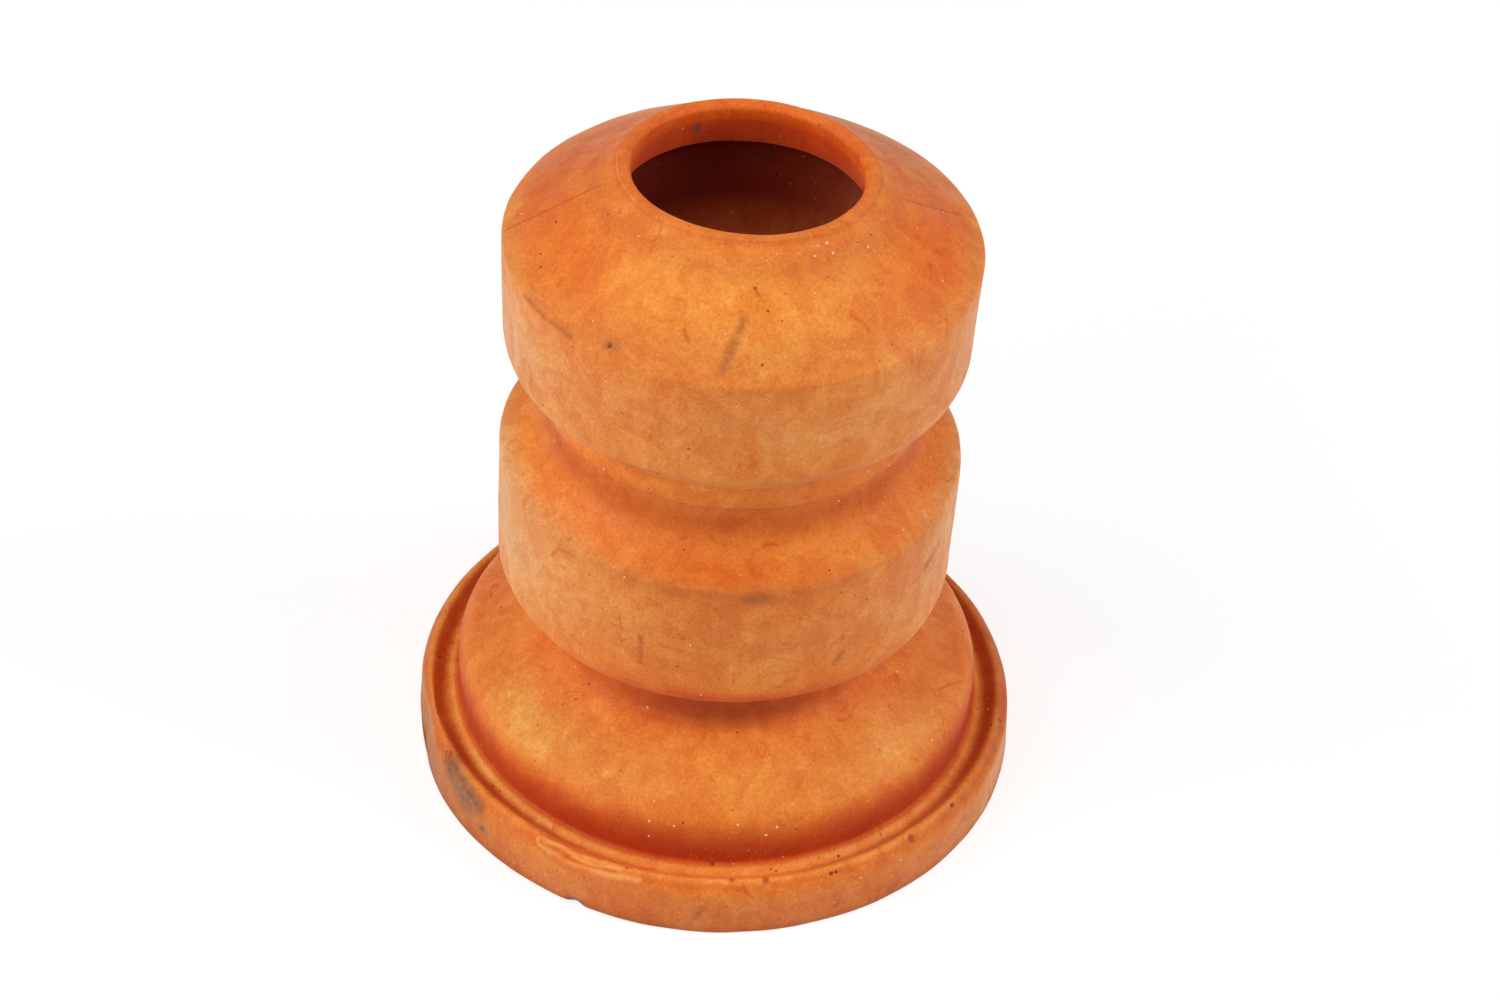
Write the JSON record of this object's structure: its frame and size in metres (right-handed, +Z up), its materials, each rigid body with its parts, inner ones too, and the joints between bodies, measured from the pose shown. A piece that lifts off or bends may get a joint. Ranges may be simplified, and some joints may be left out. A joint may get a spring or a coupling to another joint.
{
  "type": "suspension bump stop",
  "caption": "Orange foam bump stop: hollow stepped bellows with a rod lip on top and a wide flange with a raised rim at its base.",
  "frame": {"origin": "centre of the seat, the flat underside of the flange", "axes": "+Z up along the rod axis, from the flange to the lip"},
  "size_m": [0.06, 0.06, 0.0674],
  "materials": {
    "foam": "matte moulded foam skin"
  },
  "bodies": {
    "root": {"bump_stop": "foam"}
  },
  "joints": []
}
